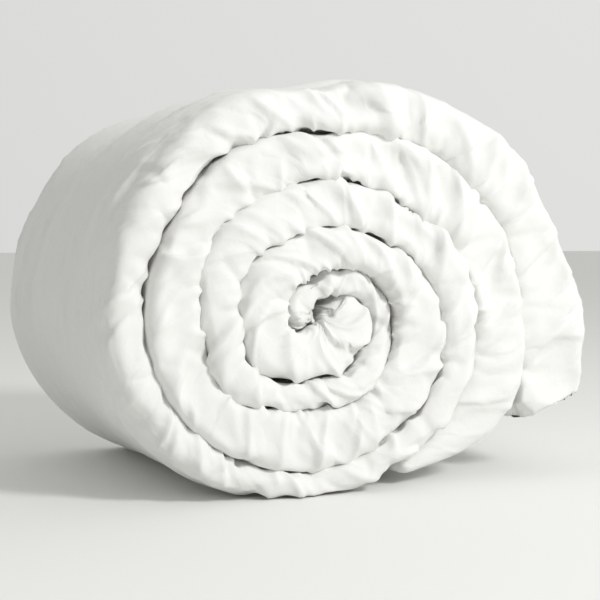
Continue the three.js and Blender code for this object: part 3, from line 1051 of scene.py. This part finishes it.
# %% Soften the hem
HEM_CUTS = 90
shape = bmesh.new()
shape.from_mesh(hem.data)
long_edges = [edge for edge in shape.edges if abs(edge.verts[0].co.y - edge.verts[1].co.y) > HEM_DEPTH * 3]
bmesh.ops.subdivide_edges(shape, edges=long_edges, cuts=HEM_CUTS, use_grid_fill=True)
for vert in shape.verts:
    from_end = (BACK - FRONT) / 2 - HEM_SETBACK - abs(vert.co.y - (FRONT + BACK) / 2)
    size = 0.12 + 0.88 * float(smooth(from_end, 0, HEM_TAPER))
    vert.co.x = lerp(hem_top.x, vert.co.x, size) + 1.2 * mm * math.sin(vert.co.y * 71)
    vert.co.z = lerp(hem_top.z, vert.co.z, size) + 0.6 * mm * math.sin(vert.co.y * 110)
shape.to_mesh(hem.data)
shape.free()
rounded = hem.modifiers.new("rounded", "BEVEL")
rounded.width, rounded.segments, rounded.limit_method = 1 * mm, 2, "ANGLE"
bpy.ops.object.modifier_apply(modifier=rounded.name)
print("hem", len(hem.data.polygons), "faces")

# %% [markdown]
# ## Pieces, cottons and bodies
# Every piece gets its cotton and rides on the body it moves with, and the frame's solids that it covers are
# hidden. The free end has no hinge pin: its cloth bends over a stretch of the winding, so tail and
# tail_tip pass smoothly from the body before them to their own.

# %% Shells
for piece in (outer_fold, inner_fold, tail, tail_tip):
    piece.data.materials.clear()
    piece.data.materials.append(shell_cotton)
    for polygon in piece.data.polygons:
        polygon.use_smooth = True
    print(piece.name, [round(side, 3) for side in piece.dimensions], "m")

# %% Fibre, inner cloth and hem
for name, (fibre, sheet) in insides.items():
    fibre.data.materials.append(wadding)
    sheet.data.materials.append(lining_cotton)
hem.data.materials.append(hem_cotton)
print(len(insides), "stretches and the hem have their cottons")

# %% Bend lines
def bend_line(deg, length):
    """A start and an end along the winding, squarely across the fold."""
    start = Vector(to_place(np.array(float(deg)), outer_middle(np.array(float(deg))), 0.0))
    along = Vector((math.sin(math.radians(deg)), 0, -math.cos(math.radians(deg))))
    return start, start + along * length


# %% Bodies that the pieces move with
TAIL_BEND, TIP_BEND = (60, 150 * mm), (22.5, 92 * mm)
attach(outer_fold, "roll")
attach(inner_fold, "roll")
for piece in (tail, *insides["tail"]):
    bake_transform(piece, "roll", "tail", *bend_line(*TAIL_BEND))
for piece in (tail_tip, *insides["tail_tip"]):
    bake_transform(piece, "tail", "tail_tip", *bend_line(*TIP_BEND))
for name in ("outer_fold", "inner_fold"):
    for piece in insides[name]:
        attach(piece, "roll")
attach(hem, "tail_tip")
print("the free end bends over", round(TAIL_BEND[1] / mm), "mm and then", round(TIP_BEND[1] / mm), "mm")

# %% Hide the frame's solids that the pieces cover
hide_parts("outer_fold_cover", "back_fold_cover", "back_fold_filling")
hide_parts("inner_fold_cover")
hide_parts("tail_cover")
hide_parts("tail_tip_cover")
for name, (fibre, sheet) in insides.items():
    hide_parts(name + "_filling")
    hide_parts(name + "_lining")
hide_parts("tail_hem")

# %% How many pieces are padded
print(len(insides) + 4, "padded pieces")

# %% [markdown]
# ## Light, floor and camera
# A large soft light stands in front and to the right, so the end of the roll is bright and its left side
# falls into a soft grey shade. The floor is a plain pale sheet with a pale surround.

# %% Floor
FLOOR_SIZE, FLOOR_DROP = 80, 1.5 * mm
bpy.ops.mesh.primitive_plane_add(size=FLOOR_SIZE, location=(0, 0, -FLOOR_DROP))
floor = bpy.context.object
floor.name = "floor"
pale = bpy.data.materials.new("pale floor")
pale.use_nodes = True
pale.node_tree.nodes["Principled BSDF"].inputs["Base Color"].default_value = linear("#eeeeec")
pale.node_tree.nodes["Principled BSDF"].inputs["Roughness"].default_value = 0.95
floor.data.materials.append(pale)
print("floor", FLOOR_SIZE, "m across")

# %% Surround
DIMMEST, BRIGHTEST = 0.41, 0.96
BRIGHT_SIDE = (0.76, 0.46, 0.46)
scene = bpy.context.scene
world = bpy.data.worlds.new("pale surround")
world.use_nodes = True
tree = world.node_tree
direction = add_node(tree, "ShaderNodeTexCoord").outputs["Generated"]
toward_light = add_node(tree, "ShaderNodeVectorMath", {"operation": "DOT_PRODUCT"}, _0=direction,
                        _1=BRIGHT_SIDE)
shade = add_node(tree, "ShaderNodeMapRange", Value=toward_light.outputs["Value"], From_Min=-1.0,
                 From_Max=1.0, To_Min=DIMMEST, To_Max=BRIGHTEST)
tree.nodes["Background"].inputs["Color"].default_value = linear("#e9e9e7")
tree.links.new(shade.outputs[0], tree.nodes["Background"].inputs["Strength"])
scene.world = world
scene.view_settings.view_transform = "Standard"
print("surround from", DIMMEST, "to", BRIGHTEST)

# %% Light
LIGHT_PLACE = (1.4, -3.3, 2.4)
MIDDLE_OF_ROLL = (0.0, 0.0, 0.25)
light_data = bpy.data.lights.new("window", "AREA")
light_data.shape, light_data.size, light_data.energy = "DISK", 0.9, 95
light = bpy.data.objects.new("window", light_data)
bpy.context.collection.objects.link(light)
light.location = LIGHT_PLACE
toward_roll = Vector(MIDDLE_OF_ROLL) - Vector(LIGHT_PLACE)
light.rotation_euler = toward_roll.to_track_quat("-Z", "Y").to_euler()
print("light", round(toward_roll.length, 2), "m away,", light_data.energy, "W")

# %% Camera
CAMERA_LEFT, CAMERA_AWAY, CAMERA_HEIGHT = 0.685, 1.364, 0.3015    # from the middle of the front end
LOOKING_DOWN, TURNED = 2.3, 25.5
camera_data = bpy.data.cameras.new("camera")
camera_data.lens = 77.4
camera_data.sensor_width = 36
camera_data.shift_x, camera_data.shift_y = -0.008, -0.008
camera = bpy.data.objects.new("camera", camera_data)
bpy.context.collection.objects.link(camera)
camera.location = (CENTRE_X - CAMERA_LEFT, FRONT - CAMERA_AWAY, CAMERA_HEIGHT)
camera.rotation_euler = (math.radians(90 - LOOKING_DOWN), 0, math.radians(-TURNED))
scene.camera = camera
print("camera", [round(v, 3) for v in camera.location], "lens", camera_data.lens, "mm")
